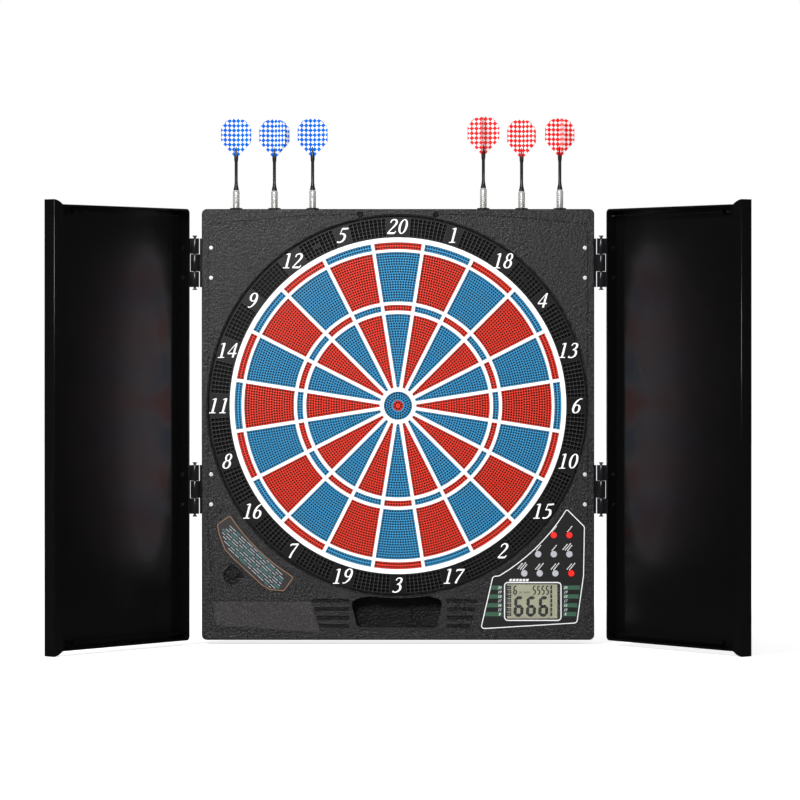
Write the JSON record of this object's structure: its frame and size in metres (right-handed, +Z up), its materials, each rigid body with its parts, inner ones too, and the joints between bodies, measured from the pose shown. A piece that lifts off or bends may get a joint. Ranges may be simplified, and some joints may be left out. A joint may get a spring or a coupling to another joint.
{
  "type": "dart board cabinet",
  "caption": "Soft-tip electronic dart board in a shallow black cabinet with two hinged doors and darts stored upright in its top edge",
  "frame": {"origin": "on the wall plane at the back face, straight behind the bull's-eye", "axes": "+X to the right seen from the front, +Y into the wall, +Z up"},
  "size_m": [0.7972, 0.2302, 0.6197],
  "materials": {
    "housing_plastic": "fine leather grain",
    "gloss_black": "polished",
    "ring_plastic": "satin",
    "web_plastic": "semi-gloss",
    "segment_plastic": "semi-gloss, alternating with red",
    "red_plastic": "semi-gloss",
    "grey_plastic": "satin",
    "panel_film": "satin film with printed lines",
    "printed_card": "satin film with printed bars",
    "clear_lens": "clear",
    "lcd_glass": "reflective display",
    "black_rubber": "matte",
    "membrane_film": "translucent film",
    "backing_fibre": "pressed fibre",
    "board_laminate": "lacquered",
    "battery_wrap": "printed sleeve",
    "zinc_steel": "zinc plated",
    "dark_steel": "blackened",
    "dart_metal": "turned, ringed",
    "flight_film": "printed checks"
  },
  "bodies": {
    "cabinet": {"front_housing": "housing_plastic", "rear_housing": "housing_plastic", "batteries": "battery_wrap", "number_ring": "ring_plastic", "spider_web": "web_plastic", "rubber_mat": "black_rubber", "sensor_membrane": "membrane_film", "backing_board": "backing_fibre", "circuit_board": "board_laminate", "keypad": "black_rubber", "speaker": "dark_steel", "control_overlay": "panel_film", "lcd_window": "clear_lens", "lcd_panel": "lcd_glass", "label_plate": "panel_film", "dart_sleeves": "ring_plastic", "housing_screws": "zinc_steel", "face_screws": "dark_steel", "hinge_body_leaves": "gloss_black", "hinge_pins": "dark_steel", "hinge_rivets": "zinc_steel"},
    "left_door": {"left_door_shell": "gloss_black", "left_grip_rail": "gloss_black", "left_rail_screws": "zinc_steel", "left_hinge_door_leaves": "gloss_black", "left_hinge_door_rivets": "zinc_steel"},
    "right_door": {"right_door_shell": "gloss_black", "right_grip_rail": "gloss_black", "right_rail_screws": "zinc_steel", "right_hinge_door_leaves": "gloss_black", "right_hinge_door_rivets": "zinc_steel"},
    "power_button": {"power_button": "red_plastic"},
    "reset_button": {"reset_button": "red_plastic"},
    "game_button": {"game_button": "grey_plastic"},
    "score_button": {"score_button": "grey_plastic"},
    "player_button": {"player_button": "grey_plastic"},
    "handicap_button": {"handicap_button": "grey_plastic"},
    "double_button": {"double_button": "grey_plastic"},
    "bounce_button": {"bounce_button": "grey_plastic"},
    "start_button": {"start_button": "red_plastic"},
    "double_segments": {"double_segments": "segment_plastic"},
    "outer_single_segments": {"outer_single_segments": "segment_plastic"},
    "triple_segments": {"triple_segments": "segment_plastic"},
    "inner_single_segments": {"inner_single_segments": "segment_plastic"},
    "outer_bull": {"outer_bull": "segment_plastic"},
    "inner_bull": {"inner_bull": "red_plastic"},
    "dart_1": {"dart_1_barrel": "dart_metal", "dart_1_flight": "flight_film"},
    "dart_2": {"dart_2_barrel": "dart_metal", "dart_2_flight": "flight_film"},
    "dart_3": {"dart_3_barrel": "dart_metal", "dart_3_flight": "flight_film"},
    "dart_4": {"dart_4_barrel": "dart_metal", "dart_4_flight": "flight_film"},
    "dart_5": {"dart_5_barrel": "dart_metal", "dart_5_flight": "flight_film"},
    "dart_6": {"dart_6_barrel": "dart_metal", "dart_6_flight": "flight_film"},
    "game_card": {"game_card": "printed_card"},
    "battery_cover": {"battery_cover": "housing_plastic"}
  },
  "joints": [
    {"name": "left_door_hinge", "type": "hinge", "parent": "cabinet", "child": "left_door", "pos_m": [-0.238, -0.046, 0], "axis": [0, 0, -1], "range_deg": [-128.7, 51.3]},
    {"name": "right_door_hinge", "type": "hinge", "parent": "cabinet", "child": "right_door", "pos_m": [0.238, -0.046, 0], "axis": [0, 0, 1], "range_deg": [-128.7, 51.3]},
    {"name": "power_press", "type": "slide", "parent": "cabinet", "child": "power_button", "axis": [0, 1, 0], "range_m": [0, 0.001], "stiffness_N_per_m": 600},
    {"name": "reset_press", "type": "slide", "parent": "cabinet", "child": "reset_button", "axis": [0, 1, 0], "range_m": [0, 0.001], "stiffness_N_per_m": 600},
    {"name": "game_press", "type": "slide", "parent": "cabinet", "child": "game_button", "axis": [0, 1, 0], "range_m": [0, 0.001], "stiffness_N_per_m": 600},
    {"name": "score_press", "type": "slide", "parent": "cabinet", "child": "score_button", "axis": [0, 1, 0], "range_m": [0, 0.001], "stiffness_N_per_m": 600},
    {"name": "player_press", "type": "slide", "parent": "cabinet", "child": "player_button", "axis": [0, 1, 0], "range_m": [0, 0.001], "stiffness_N_per_m": 600},
    {"name": "handicap_press", "type": "slide", "parent": "cabinet", "child": "handicap_button", "axis": [0, 1, 0], "range_m": [0, 0.001], "stiffness_N_per_m": 600},
    {"name": "double_press", "type": "slide", "parent": "cabinet", "child": "double_button", "axis": [0, 1, 0], "range_m": [0, 0.001], "stiffness_N_per_m": 600},
    {"name": "bounce_press", "type": "slide", "parent": "cabinet", "child": "bounce_button", "axis": [0, 1, 0], "range_m": [0, 0.001], "stiffness_N_per_m": 600},
    {"name": "start_press", "type": "slide", "parent": "cabinet", "child": "start_button", "axis": [0, 1, 0], "range_m": [0, 0.001], "stiffness_N_per_m": 600},
    {"name": "double_ring_press", "type": "slide", "parent": "cabinet", "child": "double_segments", "axis": [0, 1, 0], "range_m": [0, 0.0012], "stiffness_N_per_m": 4000},
    {"name": "outer_single_ring_press", "type": "slide", "parent": "cabinet", "child": "outer_single_segments", "axis": [0, 1, 0], "range_m": [0, 0.0012], "stiffness_N_per_m": 4000},
    {"name": "triple_ring_press", "type": "slide", "parent": "cabinet", "child": "triple_segments", "axis": [0, 1, 0], "range_m": [0, 0.0012], "stiffness_N_per_m": 4000},
    {"name": "inner_single_ring_press", "type": "slide", "parent": "cabinet", "child": "inner_single_segments", "axis": [0, 1, 0], "range_m": [0, 0.0012], "stiffness_N_per_m": 4000},
    {"name": "outer_bull_press", "type": "slide", "parent": "cabinet", "child": "outer_bull", "axis": [0, 1, 0], "range_m": [0, 0.0012], "stiffness_N_per_m": 4000},
    {"name": "inner_bull_press", "type": "slide", "parent": "cabinet", "child": "inner_bull", "axis": [0, 1, 0], "range_m": [0, 0.0012], "stiffness_N_per_m": 4000},
    {"name": "dart_1_lift", "type": "slide", "parent": "cabinet", "child": "dart_1", "axis": [0, 0, 1], "range_m": [0, 0.06]},
    {"name": "dart_2_lift", "type": "slide", "parent": "cabinet", "child": "dart_2", "axis": [0, 0, 1], "range_m": [0, 0.06]},
    {"name": "dart_3_lift", "type": "slide", "parent": "cabinet", "child": "dart_3", "axis": [0, 0, 1], "range_m": [0, 0.06]},
    {"name": "dart_4_lift", "type": "slide", "parent": "cabinet", "child": "dart_4", "axis": [0, 0, 1], "range_m": [0, 0.06]},
    {"name": "dart_5_lift", "type": "slide", "parent": "cabinet", "child": "dart_5", "axis": [0, 0, 1], "range_m": [0, 0.06]},
    {"name": "dart_6_lift", "type": "slide", "parent": "cabinet", "child": "dart_6", "axis": [0, 0, 1], "range_m": [0, 0.06]},
    {"name": "game_card_lift", "type": "slide", "parent": "cabinet", "child": "game_card", "axis": [0, -1, 0], "range_m": [0, 0.008]},
    {"name": "battery_cover_lift", "type": "slide", "parent": "cabinet", "child": "battery_cover", "axis": [0, 1, 0], "range_m": [0, 0.012]}
  ]
}
